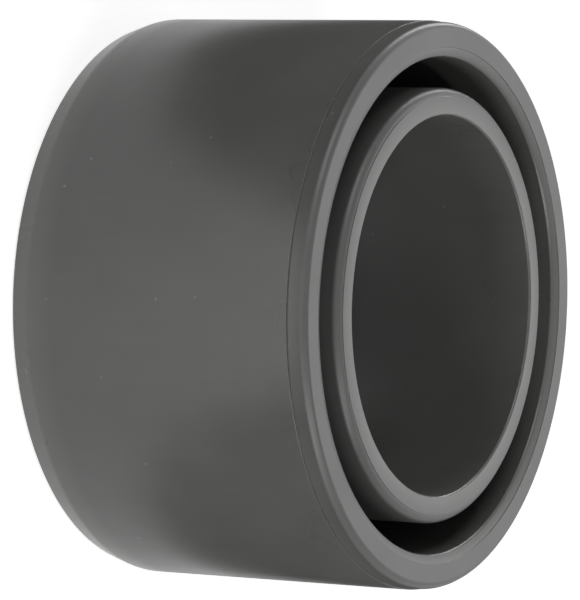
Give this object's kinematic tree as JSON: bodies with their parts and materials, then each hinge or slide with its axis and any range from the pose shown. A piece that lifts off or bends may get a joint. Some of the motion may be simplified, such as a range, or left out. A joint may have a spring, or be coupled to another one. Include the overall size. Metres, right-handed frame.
{
  "type": "reducing coupling",
  "caption": "Short reducing coupling for solvent-welded pressure pipe: a plain outer spigot, a deep coring groove and a smaller inner socket with its rim flush with the outer one.",
  "frame": {"origin": "centre of the rear face, which is the end that enters the larger socket", "axes": "+Z along the pipe axis, out of the mouth of the smaller socket; X and Y are equivalent"},
  "size_m": [0.075, 0.075, 0.044],
  "materials": {
    "moulded_pvc": "satin injection-moulded dark grey PVC-U"
  },
  "bodies": {
    "root": {"spigot_shell": "moulded_pvc", "end_web": "moulded_pvc", "stop_neck": "moulded_pvc", "socket_sleeve": "moulded_pvc"}
  },
  "joints": []
}
